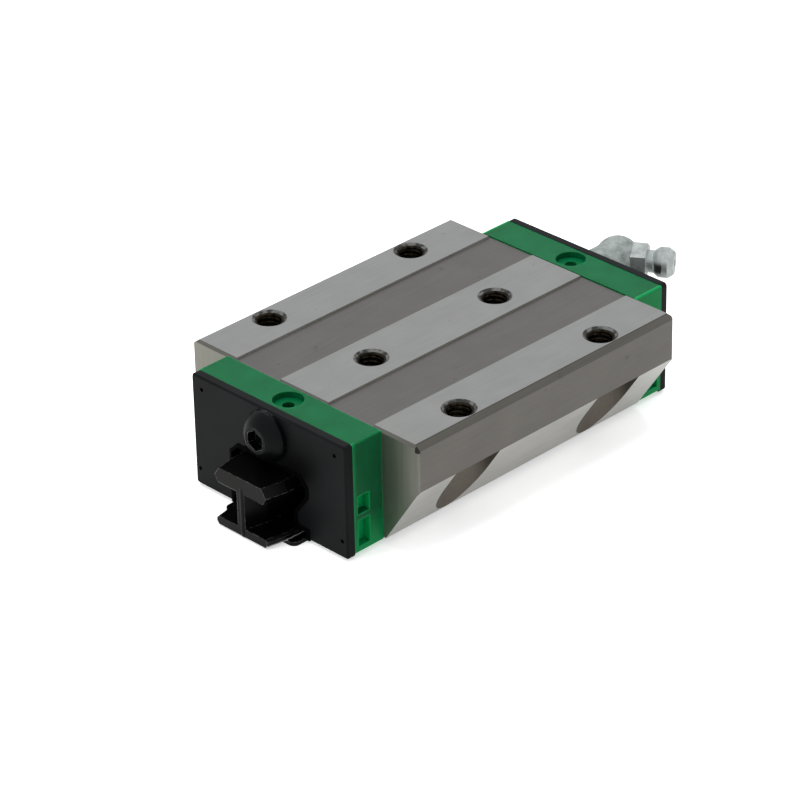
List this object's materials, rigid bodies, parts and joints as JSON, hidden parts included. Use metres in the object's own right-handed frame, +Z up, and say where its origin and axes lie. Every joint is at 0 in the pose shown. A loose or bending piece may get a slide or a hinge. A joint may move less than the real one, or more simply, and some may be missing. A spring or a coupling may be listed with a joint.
{
  "type": "linear bearing block",
  "caption": "Flanged steel carriage for a profiled linear guide rail, with plastic end caps, end seals, a plug, a turned grease nipple and a plastic transport rail.",
  "frame": {"origin": "centre of the mounting face, on top of the steel body, midway between all six tapped holes", "axes": "+X along the rail towards the end with the grease nipple, +Y to the left looking that way, +Z up out of the mounting face"},
  "size_m": [0.1163, 0.063, 0.0254],
  "materials": {
    "block_steel": "fine ground, with a matt scaled underside",
    "green_nylon": "satin moulded",
    "seal_plate": "satin",
    "seal_rubber": "satin",
    "black_plug": "black oxide, oiled",
    "zinc_steel": "bright zinc plate",
    "black_nylon": "moulded, satin",
    "bearing_steel": "polished",
    "strip_steel": "rolled",
    "white_acetal": "moulded"
  },
  "bodies": {
    "carriage": {"ball_circuit_lower_left": "bearing_steel", "ball_circuit_lower_right": "bearing_steel", "ball_circuit_upper_left": "bearing_steel", "ball_circuit_upper_right": "bearing_steel", "ball_retainer_left": "strip_steel", "ball_retainer_right": "strip_steel", "bottom_seal_left": "seal_rubber", "bottom_seal_right": "seal_rubber", "cap_screws_front": "black_plug", "cap_screws_rear": "black_plug", "carriage_block": "block_steel", "end_cap_front": "green_nylon", "end_cap_rear": "green_nylon", "end_seal_front": "seal_plate", "end_seal_rear": "seal_plate", "lube_plug": "black_plug", "nipple_elbow": "zinc_steel", "nipple_head": "zinc_steel", "return_guide_front_left": "white_acetal", "return_guide_front_right": "white_acetal", "return_guide_rear_left": "white_acetal", "return_guide_rear_right": "white_acetal", "wiper_lip_front": "seal_rubber", "wiper_lip_rear": "seal_rubber"},
    "transport_rail": {"transport_rail": "black_nylon"},
    "check_ball": {"nipple_check_ball": "bearing_steel"}
  },
  "joints": [
    {"name": "transport_rail_slide", "type": "slide", "parent": "carriage", "child": "transport_rail", "axis": [1, 0, 0], "range_m": [-0.1, 0.1]},
    {"name": "check_ball_press", "type": "slide", "parent": "carriage", "child": "check_ball", "axis": [-0.5446, 0.8387, 0], "range_m": [0, 0.0006], "stiffness_N_per_m": 50, "springref_m": -0.001}
  ]
}
